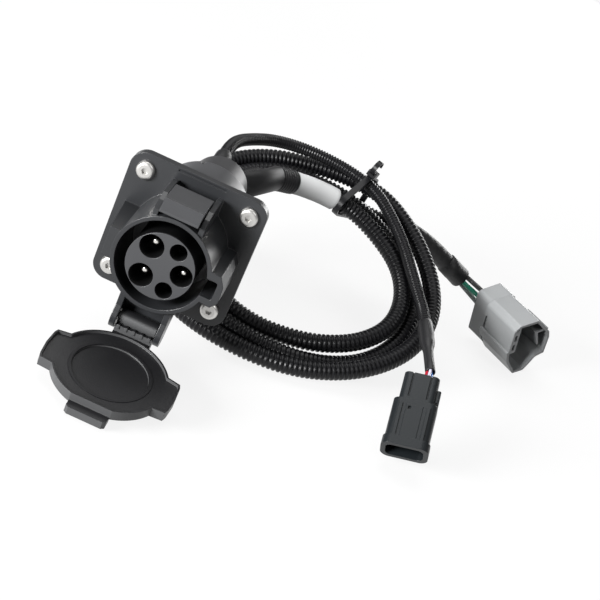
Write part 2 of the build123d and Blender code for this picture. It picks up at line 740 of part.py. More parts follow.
# Grey power connector, on the line of its leads: a rear block and a wider hood with a
# stepped flank, a lobed mouth and a pocket in the mouth.
grey_across = Vector(-0.197, -0.258, 0.946)
grey_axis = Vector(0.737, -0.675, -0.031)
grey_at = tape_end + tape_dir * 5 + grey_axis * 15.8
grey_plane = Plane(origin=grey_at, x_dir=grey_across, z_dir=grey_axis)
grey_hood_start = grey_rear_length - 1
grey_mouth_floor = grey_length - grey_mouth_deep
with BuildSketch() as grey_outline:
    Polygon(
        (-29, -1), (-17, 6.8), (-9.5, 8.6), (-9, 7.4), (7.4, 7.2), (10, 3.2), (9.2, -11), (-3.2, -22.6), (-8, -24),
        (-20.5, -23.4), (-21.5, -16.8), (-26, -13), (-29.5, -9.5), align=None,
    )
    fillet(grey_outline.vertices().sort_by(Axis.X)[:4], radius=2)
    fillet(grey_outline.vertices().sort_by(Axis.X)[-4:], radius=2.6)
with BuildSketch() as grey_opening:
    add(grey_outline.sketch)
    offset(amount=-grey_wall, kind=Kind.INTERSECTION, mode=Mode.REPLACE)
with BuildPart() as power_connector:
    with BuildSketch(grey_plane):
        with Locations((-7, -4.5)):
            RectangleRounded(31, 19, 3)
    extrude(amount=grey_rear_length)
    with BuildSketch(grey_plane.offset(grey_hood_start)):
        add(grey_outline.sketch)
    extrude(amount=grey_length - grey_hood_start)
    with BuildSketch(grey_plane.offset(grey_mouth_floor)):
        add(grey_opening.sketch)
    extrude(amount=grey_mouth_deep, mode=Mode.SUBTRACT)
    # pocket walls in the mouth
    with BuildSketch(grey_plane.offset(grey_mouth_floor)):
        Polygon(
            (-1.6, -12), (-1.6, -22.5), (-2.8, -22.5), (-2.8, -14.6), (-13, -18), (-13, -16.8), align=None,
        )
    extrude(amount=grey_mouth_deep - 1.5)
    # two narrow windows of the terminal lock, behind the step of the flank
    with BuildSketch(grey_plane.offset(grey_hood_start + 1)):
        with Locations((-4, 7.4)):
            Rectangle(8.5, 3)
        with Locations((-18.5, 5.8)):
            Rectangle(5.5, 4)
    extrude(amount=1.4, mode=Mode.SUBTRACT)
    with BuildSketch(grey_plane.offset(-1)):
        with Locations((-lead_spread, 0), (0, 0), (lead_spread, 0)):
            Circle(lead_r)
    extrude(amount=12, mode=Mode.SUBTRACT)
power_connector.part.label = "power_connector"
export_step(power_connector.part, "parts/power_connector.step")

# Terminal holder standing in the grey connector's mouth: three square windows in a row.
holder_rows = [(-10.9, 1.8), (-3.6, 1.8), (3.7, 1.8)]
with BuildSketch() as holder_room:
    add(grey_opening.sketch)
    offset(amount=-holder_gap, kind=Kind.INTERSECTION, mode=Mode.REPLACE)
with BuildPart() as power_holder:
    with BuildSketch(grey_plane.offset(grey_mouth_floor)):
        with Locations(holder_rows[1]):
            RectangleRounded(23, 7.4, 1)
        add(holder_room.sketch, mode=Mode.INTERSECT)
    extrude(amount=grey_mouth_deep - 3.5)
    with BuildSketch(grey_plane.offset(grey_mouth_floor + 2)):
        with Locations(*holder_rows):
            Rectangle(4.6, 4.4)
    extrude(amount=grey_mouth_deep, mode=Mode.SUBTRACT)
power_holder.part.label = "power_holder"
export_step(power_holder.part, "parts/power_holder.step")

# Blades of the power connector, one in each window.
with BuildPart() as power_blades:
    with BuildSketch(grey_plane.offset(grey_mouth_floor + 2)):
        with Locations(*holder_rows):
            Rectangle(3.4, 0.9)
    extrude(amount=grey_mouth_deep - 9)
power_blades.part.label = "power_blades"
export_step(power_blades.part, "parts/power_blades.step")

# Black signal connector: grooved rear block with a lock bump, wider hood with two rails
# and a band round its oblong mouth.
black_across = Vector(0.968, -0.037, 0.248)
black_axis = Vector(0.105, -0.839, -0.536)
black_at = Vector(138.5, 16.3, -23.9)
black_plane = Plane(origin=black_at, x_dir=black_across, z_dir=black_axis)
black_hood_start = black_rear_length - 2
black_mouth_floor = black_length - black_mouth_deep
with BuildPart() as signal_connector:
    with BuildSketch(black_plane):
        RectangleRounded(18, 11.6, 3)
    extrude(amount=black_rear_length)
    with BuildSketch(black_plane.offset(6)):
        with Locations((9, 0)):
            RectangleRounded(4, 6, 1)
    extrude(amount=7)
    with BuildSketch(black_plane.offset(black_hood_start)):
        RectangleRounded(22.4, 13.6, 4)
    extrude(amount=black_length - black_hood_start)
    with BuildSketch(black_plane.offset(black_length - 5)):
        RectangleRounded(24, 14.8, 4.6)
    extrude(amount=5)
    # rails along both sides of the hood and the low panel between them
    with BuildSketch(black_plane.offset(black_hood_start + 3)):
        with Locations((-7, 6.6), (7, 6.6)):
            Rectangle(1.8, 1.6)
        with Locations((0, 6.4)):
            Rectangle(8.4, 1.2)
    extrude(amount=black_length - black_hood_start - 8)
    # two grooves in the rear block
    with BuildSketch(black_plane.offset(-1)):
        with Locations((-4.4, 5.8), (4.8, 5.8)):
            Rectangle(0.8, 1.8)
    extrude(amount=black_rear_length - 3, mode=Mode.SUBTRACT)
    # small hook recess in the panel
    with BuildSketch(black_plane.offset(black_hood_start + 4)):
        with Locations((-2.4, 6.8)):
            Rectangle(1.4, 1.6)
    extrude(amount=2, mode=Mode.SUBTRACT)
    with BuildSketch(black_plane.offset(black_mouth_floor)):
        RectangleRounded(24 - 2 * black_wall - 1, 14.8 - 2 * black_wall - 0.4, 3)
    extrude(amount=black_mouth_deep, mode=Mode.SUBTRACT)
    with BuildSketch(black_plane.offset(-1)):
        with Locations((2.4 - fine_lead_spread, 0), (2.4, 0), (2.4 + fine_lead_spread, 0)):
            Circle(fine_lead_r)
    extrude(amount=9, mode=Mode.SUBTRACT)
signal_connector.part.label = "signal_connector"
export_step(signal_connector.part, "parts/signal_connector.step")

# Signal terminals: three slim pins standing in the black connector's mouth.
with BuildPart() as signal_terminals:
    with BuildSketch(black_plane.offset(black_mouth_floor)):
        with Locations((-5, 0), (0, 0), (5, 0)):
            Rectangle(0.8, 0.8)
    extrude(amount=10)
signal_terminals.part.label = "signal_terminals"
export_step(signal_terminals.part, "parts/signal_terminals.step")


def lead(points, r):
    with BuildPart() as tube:
        with BuildLine() as run:
            FilletPolyline(*points, radius=bends(points))
        with BuildSketch(section(run.line)):
            Circle(r)
        sweep()
    report("lead", tube.part, run.line, r)
    print("lead bend radii", [round(b, 1) for b in bends(points)])
    return tube.part


# Power leads: black, green and grey, side by side out of the tape sleeve.
tape_plane = Plane(origin=power_route[-1], x_dir=grey_across, z_dir=tape_dir)
turn_plane = Plane(origin=tape_end + tape_dir * 5, x_dir=grey_across, z_dir=tape_dir)
power_leads = {}
for name, gather, spread in (("grey_lead", (-2, -1.1), -1), ("green_lead", (0, 2.1), 0), ("black_lead", (2, -1.1), 1)):
    points = [
        tape_plane.from_local_coords(Vector(gather[0], gather[1], 0)),
        turn_plane.from_local_coords(Vector(gather[0] * 1.5, gather[1] * 0.8, 0)),
        grey_plane.from_local_coords(Vector(spread * lead_spread, 0, 0)),
    ]
    power_leads[name] = lead(points, lead_r)
    power_leads[name].label = name
    export_step(power_leads[name], "parts/" + name + ".step")

# Signal leads: red, white and blue, bare for a few millimetres before the connector.
for name, gather, spread in (("red_lead", (-1.05, -0.6), -1), ("white_lead", (0, 1.2), 0), ("blue_lead", (1.05, -0.6), 1)):
    points = []
    for along, snug in ((12, 1), (25, 0.88), (37, 0.98), (48, 0.96)):
        there = Plane(origin=shrink_start + shrink_dir * along, x_dir=(1, 0.166, 0), z_dir=shrink_dir)
        points.append(there.from_local_coords(Vector(gather[0] * snug, gather[1] * snug, 0)))
    points.append(black_plane.from_local_coords(Vector(2.4 + spread * fine_lead_spread, 0, 0)))
    fine = lead(points, fine_lead_r)
    fine.label = name
    export_step(fine, "parts/" + name + ".step")
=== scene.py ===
from math import cos, pi, radians, sin

import bpy
from mathutils import Matrix, Vector


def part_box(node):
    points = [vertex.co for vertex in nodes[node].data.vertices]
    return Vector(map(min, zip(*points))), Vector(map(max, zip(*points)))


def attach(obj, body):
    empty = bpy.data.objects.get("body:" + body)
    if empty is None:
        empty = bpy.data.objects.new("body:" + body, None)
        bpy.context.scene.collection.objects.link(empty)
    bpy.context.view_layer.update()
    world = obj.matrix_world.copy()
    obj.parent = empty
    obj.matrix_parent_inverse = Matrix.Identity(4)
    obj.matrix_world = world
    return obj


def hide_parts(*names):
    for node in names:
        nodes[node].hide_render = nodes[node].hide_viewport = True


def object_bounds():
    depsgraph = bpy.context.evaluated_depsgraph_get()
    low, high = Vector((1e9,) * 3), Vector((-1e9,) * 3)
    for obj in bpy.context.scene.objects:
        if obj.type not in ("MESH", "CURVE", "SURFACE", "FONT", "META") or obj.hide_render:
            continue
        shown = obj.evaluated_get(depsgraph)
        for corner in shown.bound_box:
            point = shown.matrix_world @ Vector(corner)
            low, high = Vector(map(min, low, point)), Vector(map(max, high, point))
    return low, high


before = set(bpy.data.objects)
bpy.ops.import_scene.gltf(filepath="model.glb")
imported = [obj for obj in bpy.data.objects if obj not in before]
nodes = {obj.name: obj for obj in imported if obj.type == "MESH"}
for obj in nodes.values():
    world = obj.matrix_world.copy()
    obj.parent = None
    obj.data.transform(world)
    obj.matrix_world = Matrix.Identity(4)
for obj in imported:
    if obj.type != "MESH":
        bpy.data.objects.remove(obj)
cad_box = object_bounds()
scene = bpy.context.scene

# Front housing. One moulding in glass-filled black plastic: the square flange, the keyed
# barrel and the ears for the lever and the cover, with a fine satin grain from the mould.
# Four screws hold it to the body panel.


def material(
    name, colour, rough, coat=0.0, metal=0.0, grain=0.0, grain_size=900.0, mottle=0.08,
    specular=0.5, edge=0.0,
):
    # principled surface with a faint mottle in colour and gloss, a fine moulded grain
    # and, where edge is given, corners rounded off to that radius
    gloss_spread = 0.05
    grain_depth = 0.0002
    made = bpy.data.materials.new(name)
    made.use_nodes = True
    tree = made.node_tree
    shader = tree.nodes["Principled BSDF"]
    where = tree.nodes.new("ShaderNodeTexCoord")
    clouds = tree.nodes.new("ShaderNodeTexNoise")
    clouds.inputs["Scale"].default_value = 60.0
    clouds.inputs["Detail"].default_value = 4.0
    tree.links.new(where.outputs["Object"], clouds.inputs["Vector"])
    blend = tree.nodes.new("ShaderNodeMixRGB")
    blend.name = "colour"
    blend.inputs["Color1"].default_value = (*[c * (1 - mottle) for c in colour], 1)
    blend.inputs["Color2"].default_value = (*[min(1, c * (1 + mottle)) for c in colour], 1)
    tree.links.new(clouds.outputs["Fac"], blend.inputs["Fac"])
    tree.links.new(blend.outputs["Color"], shader.inputs["Base Color"])
    gloss = tree.nodes.new("ShaderNodeMapRange")
    gloss.inputs["To Min"].default_value = max(0.02, rough - gloss_spread)
    gloss.inputs["To Max"].default_value = min(1.0, rough + gloss_spread)
    tree.links.new(clouds.outputs["Fac"], gloss.inputs["Value"])
    tree.links.new(gloss.outputs["Result"], shader.inputs["Roughness"])
    shader.inputs["Metallic"].default_value = metal
    shader.inputs["Coat Weight"].default_value = coat
    shader.inputs["Specular IOR Level"].default_value = specular
    fine = tree.nodes.new("ShaderNodeTexNoise")
    fine.inputs["Scale"].default_value = grain_size
    fine.inputs["Detail"].default_value = 3.0
    tree.links.new(where.outputs["Object"], fine.inputs["Vector"])
    bump = tree.nodes.new("ShaderNodeBump")
    bump.inputs["Strength"].default_value = max(grain, 0.02)
    bump.inputs["Distance"].default_value = grain_depth
    tree.links.new(fine.outputs["Fac"], bump.inputs["Height"])
    if edge:
        soft = tree.nodes.new("ShaderNodeBevel")
        soft.samples = 6
        soft.inputs["Radius"].default_value = edge
        tree.links.new(soft.outputs["Normal"], bump.inputs["Normal"])
    tree.links.new(bump.outputs["Normal"], shader.inputs["Normal"])
    return made


def dress(piece, made):
    piece.data.materials.clear()
    piece.data.materials.append(made)


housing_plastic = material(
    "housing_plastic", (0.020, 0.021, 0.023), 0.32, grain=0.12, grain_size=1400, edge=0.0006,
)
dress(nodes["front_housing"], housing_plastic)

# Hinge web. Thin wall of the same moulding, which ties the two hinge ears together
# behind the cover's knuckle.
web_half = 0.0103
web_front, web_back = -0.0278, -0.0263
web_foot, web_top = -0.0345, -0.0225
web_mesh = bpy.data.meshes.new("hinge_web")
web_mesh.from_pydata(
    [(x, y, z) for x in (-web_half, web_half) for y in (web_front, web_back) for z in (web_foot, web_top)],
    [],
    [(0, 1, 3, 2), (4, 6, 7, 5), (0, 4, 5, 1), (2, 3, 7, 6), (0, 2, 6, 4), (1, 5, 7, 3)],
)
web = bpy.data.objects.new("hinge_web", web_mesh)
scene.collection.objects.link(web)
dress(web, housing_plastic)
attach(web, "housing")

# Contact carrier and retainer. Round moulded core with a deep well round each pin, and
# the shouldered disc pressed in behind it, which grips the contacts. Both enter the
# barrel from the back; the carrier's wells carry painted shade, darker with depth.
core_plastic = material("core_plastic", (0.044, 0.045, 0.048), 0.38, grain=0.12, grain_size=1400, edge=0.0004)
# painted shade: the carrier's colour darkens with depth inside each well, standing in for the shade there
carrier_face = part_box("contact_carrier")[0].y
shade_start = 0.0002
shade_full = 0.0015
painted_well_shade = 0.08
core = core_plastic.node_tree
place = core.nodes.new("ShaderNodeSeparateXYZ")
core.links.new(core.nodes["Texture Coordinate"].outputs["Object"], place.inputs["Vector"])
painted_shade_mask = core.nodes.new("ShaderNodeMapRange")
painted_shade_mask.inputs["From Min"].default_value = carrier_face + shade_start
painted_shade_mask.inputs["From Max"].default_value = carrier_face + shade_full
painted_shade_mask.inputs["To Min"].default_value = 1.0
painted_shade_mask.inputs["To Max"].default_value = painted_well_shade
core.links.new(place.outputs["Y"], painted_shade_mask.inputs["Value"])
apply_painted_shade = core.nodes.new("ShaderNodeVectorMath")
apply_painted_shade.operation = "SCALE"
core.links.new(core.nodes["colour"].outputs["Color"], apply_painted_shade.inputs[0])
core.links.new(painted_shade_mask.outputs["Result"], apply_painted_shade.inputs["Scale"])
core.links.new(apply_painted_shade.outputs["Vector"], core.nodes["Principled BSDF"].inputs["Base Color"])
dress(nodes["contact_carrier"], core_plastic)
dress(nodes["contact_retainer"], material("retainer_plastic", (0.008, 0.008, 0.009), 0.6, specular=0.2))

# Contacts. Turned brass pins, silver plated, each standing in its own well of the
# carrier and gripped behind it by the retainer.
silver = material("silver_plate", (0.80, 0.78, 0.74), 0.22, metal=1.0, mottle=0.03, edge=0.0002)
for name in ("line_pin", "neutral_pin", "ground_pin", "pilot_pin", "proximity_pin"):
    dress(nodes[name], silver)

# Rear housing and cap. A moulded cup held against the flange's back, and the duller
# moulding that closes it, with a hole in its end wall for each conduit.
# painted light: the cup's colour is lighter than the cap's, standing in for the light on its rim
rear_plastic = material("rear_plastic", (0.055, 0.056, 0.060), 0.36, grain=0.12, grain_size=1400, edge=0.0009)
dress(nodes["rear_housing"], rear_plastic)
cap_plastic = material("cap_plastic", (0.024, 0.024, 0.026), 0.45, grain=0.12, grain_size=1400, edge=0.0005)
dress(nodes["rear_cap"], cap_plastic)

# Mounting screws. Four stainless screws with button heads and a hexagon socket, one
# through each corner of the flange.
stainless = material("stainless", (0.62, 0.61, 0.59), 0.35, metal=1.0, mottle=0.05, edge=0.0002)
dress(nodes["mounting_screws"], stainless)

# Cover and its gasket. Moulded dark lid, finely textured, which swings on the hinge pin, with
# painted light on its outer shell; a flat rubber ring is pressed into its groove.
lid_colour = (0.008, 0.008, 0.009)
painted_light_colour = (0.07, 0.071, 0.073)
lid_inside = (0, -0.148, 0.989)
cover_plastic = material(
    "cover_plastic", lid_colour, 0.42, grain=0.35, grain_size=1600, specular=0.4, edge=0.0004,
)
# painted light: faces turned away from the lid's inside get a lighter colour, standing in for the light on
# its side walls
lid = cover_plastic.node_tree
facing = lid.nodes.new("ShaderNodeVectorMath")
facing.operation = "DOT_PRODUCT"
facing.inputs[1].default_value = lid_inside
lid.links.new(lid.nodes["Texture Coordinate"].outputs["Normal"], facing.inputs[0])
inside = lid.nodes.new("ShaderNodeMapRange")
inside.inputs["From Min"].default_value = 0.5
inside.inputs["From Max"].default_value = 0.8
lid.links.new(facing.outputs["Value"], inside.inputs["Value"])
painted_light_mix = lid.nodes.new("ShaderNodeMixRGB")
painted_light_mix.inputs["Color1"].default_value = (*painted_light_colour, 1)
lid.links.new(inside.outputs["Result"], painted_light_mix.inputs["Fac"])
lid.links.new(lid.nodes["colour"].outputs["Color"], painted_light_mix.inputs["Color2"])
lid.links.new(painted_light_mix.outputs["Color"], lid.nodes["Principled BSDF"].inputs["Base Color"])
dress(nodes["cover"], cover_plastic)
rubber_black = material("rubber_black", (0.008, 0.008, 0.009), 0.5, grain=0.15, specular=0.3)
dress(nodes["cover_gasket"], rubber_black)

# Hinge and latch pins with their springs. Blackened steel pins pressed into the ears,
# and torsion springs wound round them from plain spring wire.
blackened = material("blackened_steel", (0.02, 0.02, 0.021), 0.25, coat=0.3)
spring_steel = material("spring_steel", (0.35, 0.35, 0.35), 0.35, metal=1.0)
for pin, spring in (("hinge_pin", "hinge_spring"), ("latch_pin", "latch_spring")):
    dress(nodes[pin], blackened)
    dress(nodes[spring], spring_steel)

# Latch lever. Moulded rocker with a flat top and a sloped thumb pad, held over the
# barrel by the latch pin; its nose reaches over the closed cover.
lever_plastic = material(
    "lever_plastic", (0.044, 0.045, 0.048), 0.36, grain=0.1, grain_size=1400, edge=0.0005,
)
dress(nodes["latch_lever"], lever_plastic)

# Power conduit. Corrugated tube of black plastic round the three power leads, coiled
# three times on a lean. The points on the coil are x, distance up the lean and height
# over it, in millimetres.
lean = radians(22)
lean_foot = Vector((0, 27, -52.4))
conduit_radius = 0.0050
conduit_root = 0.0042
ridge_pitch = 0.0026


def coiled(x, up_lean, over):
    along = Vector((0, cos(lean), sin(lean)))
    off = Vector((0, -sin(lean), cos(lean)))
    return (lean_foot + Vector((x, 0, 0)) + along * up_lean + off * over) / 1000


def route_curve(name, points):
    # smooth line through a cord's route, with the route's points as control points
    curve = bpy.data.curves.new(name, "CURVE")
    curve.dimensions = "3D"
    spline = curve.splines.new("NURBS")
    spline.points.add(len(points) - 1)
    for at, point in zip(spline.points, points):
        at.co = (*point, 1)
    spline.order_u = 3
    spline.use_endpoint_u = True
    spline.resolution_u = 16
    return curve


def route_line(name, points):
    # the same smooth line as a list of places along it
    holder = bpy.data.objects.new(name, route_curve(name, points))
    scene.collection.objects.link(holder)
    bpy.context.view_layer.update()
    mesh = bpy.data.meshes.new_from_object(holder)
    line = [v.co.copy() for v in mesh.vertices]
    bpy.data.objects.remove(holder)
    return line


def runs(line):
    # distance from the line's start to each of its places
    run = [0.0]
    for a, b in zip(line, line[1:]):
        run.append(run[-1] + (b - a).length)
    return run


def tube(name, line, profile, sides=24):
    # closed tube along the line, with the radii in profile, (distance along, radius)
    run = runs(line)
    side = Vector((0, 0, 1))
    verts, faces, k = [], [], 0
    for s, r in profile:
        s = min(max(s, 0.0), run[-1])
        while k < len(run) - 2 and run[k + 1] < s:
            k += 1
        share = (s - run[k]) / max(run[k + 1] - run[k], 1e-9)
        here = line[k].lerp(line[k + 1], share)
        now = (line[k + 1] - line[k]).normalized()
        before = (line[k] - line[k - 1]).normalized() if k else now
        after = (line[k + 2] - line[k + 1]).normalized() if k + 2 < len(line) else now
        if share < 0.5:
            way = before.lerp(now, share + 0.5).normalized()
        else:
            way = now.lerp(after, share - 0.5).normalized()
        side = (side - way * side.dot(way)).normalized()
        other = way.cross(side)
        for i in range(sides):
            a = 2 * pi * i / sides
            verts.append(here + (side * cos(a) + other * sin(a)) * r)
    rings = len(profile)
    for j in range(rings - 1):
        for i in range(sides):
            n = (i + 1) % sides
            faces.append((j * sides + i, j * sides + n, (j + 1) * sides + n, (j + 1) * sides + i))
    faces.append(tuple(range(sides - 1, -1, -1)))
    faces.append(tuple((rings - 1) * sides + i for i in range(sides)))
    mesh = bpy.data.meshes.new(name)
    mesh.from_pydata(verts, [], faces)
    mesh.polygons.foreach_set("use_smooth", [len(p.vertices) == 4 for p in mesh.polygons])
    piece = bpy.data.objects.new(name, mesh)
    scene.collection.objects.link(piece)
    return piece


def corrugation(length, pitch, crest, root):
    # rounded crests with narrower roots between them; the shares are of one pitch
    shoulder = crest - 0.15 * (crest - root)
    ridge = ((0, root), (0.18, root), (0.38, shoulder), (0.60, crest), (0.82, shoulder))
    count = int(length / pitch)
    return [((k + share) * pitch, r) for k in range(count) for share, r in ridge] + [(count * pitch, root)]


power_route = [Vector(p) / 1000 for p in (
    (9.5, 60, 10), (9.5, 78, 10), (19, 99, 8.5), (42, 121.5, 5), (68, 136.5, -1.5),
)]
power_route += [coiled(*p) for p in (
    (90, 114.5, 1), (108.5, 99.5, 0), (118, 78, 0), (117.5, 54, 0), (105.5, 34.5, 0), (87, 21.5, 0),
    (67, 15.5, 0), (46.5, 14.5, 0), (27, 20.5, 0), (9, 33.5, 0), (-3.5, 55, 0), (-7.5, 79, 0),
    (-4.5, 99, 0), (5, 116, 0), (20, 127.5, 0), (39, 134.5, -1), (60, 136, -2.5), (80, 131.5, -4.5),
    (97.5, 121.5, -6), (113.5, 107.5, -7.5), (123.5, 90, -7.5), (127.5, 69, -7.5), (123, 47, -8),
    (111, 29, -8.5), (94, 16, -7.5), (73, 5.5, -2.5), (48, 3.5, 0), (23, 9.5, 0), (2, 24.5, 0),
    (-13, 48, 0), (-18.5, 76, 0), (-15, 101, 0), (-4, 122, 0), (15, 138, 0), (38, 146, 0), (62, 147, 2.5),
    (84, 142.5, 5), (104, 129, 4), (120.5, 112, 2), (132.5, 91, 0), (136.5, 69, 0), (132.5, 46, 0),
    (120, 25.5, 0), (102, 9.5, 0), (79, -2.5, 1.2), (54, -7.5, 3.1), (27, -4, 1.6), (2, 8.5, -3.5),
    (-12, 31, -10.4), (-17, 58, -10.6), (-16, 86, -10.6), (-9.5, 109, -10.6), (4, 127, -10.6),
    (23, 139, -10.4), (45, 143, -10.8), (67, 142.5, -12), (88, 139, -12),
)]
power_route += [Vector(p) / 1000 for p in ((112, 161, -8), (133.5, 167.5, -19.5))]
power_line = route_line("power_route", power_route)
power_length = runs(power_line)[-1]
conduit_black = material("conduit_black", (0.005, 0.005, 0.006), 0.32, specular=0.25)
power_conduit = tube(
    "power_conduit_shown", power_line, corrugation(power_length, ridge_pitch, conduit_radius, conduit_root),
    sides=20,
)
dress(power_conduit, conduit_black)
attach(power_conduit, "housing")
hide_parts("power_conduit")

# Power boot. Soft black rubber sleeve pushed over the conduit up to the rear cap, with
# six fine rings moulded round its far end.
boot_length = 0.0625
boot_radius = 0.0070
ring_count = 6
ring_root = 0.0066
ring_pitch = 0.0018
rings_from = boot_length - 0.0125
boot_profile = [(0.0, boot_radius), (rings_from - 0.0005, boot_radius)]
for ring in range(ring_count):
    s = rings_from + ring_pitch * ring
    boot_profile += [
        (s, ring_root), (s + 0.0004, boot_radius), (s + 0.0012, boot_radius), (s + 0.0015, ring_root),
    ]
boot_profile += [(boot_length - 0.001, 0.0069), (boot_length, ring_root), (boot_length, conduit_radius)]
power_boot = tube("power_boot_shown", power_line, boot_profile, sides=32)
dress(power_boot, rubber_black)
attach(power_boot, "housing")
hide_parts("power_boot")

# Label sleeve. Blank white plastic film wound once round the conduit beside the boot,
# slightly uneven where it lies over the ridges.
label_from = boot_length + 0.0002
label_to = label_from + 0.0305
label_bore = 0.0052
label_edge = 0.0062
label_lip = 0.00638
label_radius = 0.00637
lip_length = 0.0004
wave_count = 14
wave_step = 0.00198
label_profile = [(label_from, label_bore), (label_from, label_edge), (label_from + lip_length, label_lip)]
for wave in range(1, wave_count + 1):
    uneven = 0.00003 * sin(2.1 * wave) + 0.00002 * cos(5.3 * wave)
    label_profile.append((label_from + lip_length + wave_step * wave, label_radius + uneven))
label_profile += [(label_to - lip_length, label_lip), (label_to, label_edge), (label_to, label_bore)]
label = tube("label_shown", power_line, label_profile, sides=40)
dress(label, material("label_white", (0.86, 0.87, 0.87), 0.45, mottle=0.02))
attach(label, "housing")
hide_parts("label_sleeve")

# Tape sleeve. Black cloth tape wound over the conduit's end and the start of its leads,
# each turn lapping the one before; a second layer covers the last part.
tape_over = 0.037
tape_past = 0.018
tape_lap = 0.0055
tape_steps = 18
layer_length = 0.015
tape_way = (power_route[-1] - power_route[-2]).normalized()
tape_line = power_line + [power_route[-1] + tape_way * 0.001 * k for k in range(1, tape_steps + 1)]
tape_from = power_length - tape_over
tape_to = power_length + tape_past
tape_profile = [(tape_from, 0.0051), (tape_from + 0.0006, 0.0056)]
s = tape_from + 0.001
while s + tape_lap < tape_to - layer_length:
    tape_profile += [(s, 0.00558), (s + 0.005, 0.00570), (s + 0.0052, 0.00556)]
    s += tape_lap
tape_profile += [
    (tape_to - 0.0152, 0.0057), (tape_to - 0.0149, 0.0063), (tape_to - 0.008, 0.0064),
    (tape_to - 0.0078, 0.00625), (tape_to - 0.0008, 0.0064), (tape_to, 0.0061),
    (tape_to, 0.0048), (tape_to - 0.003, 0.0047),
]
tape = tube("power_tape_shown", tape_line, tape_profile, sides=32)
dress(tape, material("tape_black", (0.010, 0.010, 0.011), 0.5, grain=0.3, specular=0.4))
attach(tape, "housing")
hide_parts("power_tape")

# Signal conduit. Finer corrugated tube of the same plastic round the three signal leads,
# half a turn over the top of the coil.
fine_radius = 0.00355
fine_root = 0.0030
fine_pitch = 0.0017
signal_route = [Vector(p) / 1000 for p in (
    (-3, 60, 15), (-3, 73, 15), (-3.6, 90, 17.5), (-2.4, 107.5, 17.2), (4, 125, 15.5),
    (14, 140.5, 14.5), (29, 150.5, 13.6), (46, 154, 13),
)]
signal_route += [coiled(*p) for p in (
    (64, 140, 13), (80, 134, 13), (94, 122.5, 10), (106, 108, 8.5), (115, 92, 8.4), (123, 77.5, 8.5),
    (131, 63, 9),
)]
signal_route += [Vector((0.135, 0.062, -0.0217))]
signal_line = route_line("signal_route", signal_route)
signal_length = runs(signal_line)[-1]
signal_conduit = tube(
    "signal_conduit_shown", signal_line, corrugation(signal_length, fine_pitch, fine_radius, fine_root),
    sides=20,
)
dress(signal_conduit, conduit_black)
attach(signal_conduit, "housing")
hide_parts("signal_conduit")

# Signal boot. Short black rubber sleeve pushed over the fine conduit up to the rear
# cap, and rounded off at its far end.
signal_boot = tube("signal_boot_shown", signal_line, [
    (0.0, 0.0046), (0.0205, 0.0045), (0.0214, 0.0043), (0.0216, 0.0036),
])
dress(signal_boot, rubber_black)
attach(signal_boot, "housing")
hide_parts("signal_boot")

# Heat-shrink sleeve. Black polymer tube, shrunk by hot air over the fine conduit's end
# and down to a long neck on its leads. The profile is distance from its start and radius.
shrink_over = 0.012
shrink_steps = 35
shrink_way = (signal_route[-1] - signal_route[-2]).normalized()
shrink_line = signal_line + [
    signal_route[-1] + shrink_way * 0.001 * k for k in range(1, shrink_steps + 1)
]
shrink_from = signal_length - shrink_over
shrink = tube("signal_sleeve_shown", shrink_line, [(shrink_from + s, r) for s, r in (
    (0.0, 0.0037), (0.0003, 0.0041), (0.002, 0.00425), (0.0115, 0.00425), (0.0125, 0.0041),
    (0.019, 0.0041), (0.0215, 0.0038), (0.0245, 0.0031), (0.0275, 0.0027), (0.038, 0.00265),
    (0.0466, 0.0027), (0.047, 0.0025), (0.047, 0.0022), (0.043, 0.0021),
)])
dress(shrink, material("shrink_black", (0.008, 0.008, 0.009), 0.45, grain=0.1, grain_size=300, specular=0.4))
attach(shrink, "housing")
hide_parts("signal_sleeve")

# Cable tie. One black nylon strap pulled through its own head round the bundle of
# conduits, with the head on top and the tail curled in front of it.
nylon = material("tie_nylon", (0.006, 0.006, 0.007), 0.35, specular=0.3, edge=0.0002)
dress(nodes["cable_tie"], nylon)

# Power leads. Three stranded wires in coloured vinyl, from the tape sleeve into the back
# of the grey connector. Each row is the lead's node, its place in the tape in millimetres,
# its row in the connector, its colour and its slot.


def seat(origin, across, way):
    # turns x, y, z about an axis, in millimetres, to metres in the shared frame
    z = way.normalized()
    x = (across - z * across.dot(z)).normalized()
    y = z.cross(x)
    return lambda a, b, c: origin + (x * a + y * b + z * c) / 1000


def lead(name, points, radius, vinyl):
    curve = route_curve(name, points)
    curve.bevel_depth = radius
    curve.bevel_resolution = 4
    curve.use_fill_caps = True
    wire = bpy.data.objects.new(name + "_shown", curve)
    scene.collection.objects.link(wire)
    dress(wire, vinyl)
    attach(wire, "housing")
    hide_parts(name)
    length = runs(route_line(name + "_line", points))[-1]


power_lead_radius = 0.0015
lead_bend = 0.005
lead_reach = 0.0158
lead_row = 5.4
grey_across = Vector((-0.197, -0.258, 0.946))
grey_axis = Vector((0.737, -0.675, -0.031)).normalized()
bend = power_route[-1] + tape_way * (tape_past + lead_bend)
in_tape = seat(power_route[-1], grey_across, tape_way)
in_bend = seat(bend, grey_across, tape_way)
in_grey = seat(bend + grey_axis * lead_reach, grey_across, grey_axis)
for name, (a, b), row, colour, slot in (
    ("grey_lead", (-2, -1.1), -1, (0.42, 0.43, 0.43), "lead_grey"),
    ("green_lead", (0, 2.1), 0, (0.0, 0.27, 0.16), "lead_green"),
    ("black_lead", (2, -1.1), 1, (0.015, 0.015, 0.015), "lead_black"),
):
    vinyl = material(name + "_vinyl", colour, 0.35, mottle=0.03)
    route = [in_tape(a, b, 0), in_bend(a * 1.5, b * 0.8, 0), in_grey(row * lead_row, 0, 0)]
    lead(name, route, power_lead_radius, vinyl)

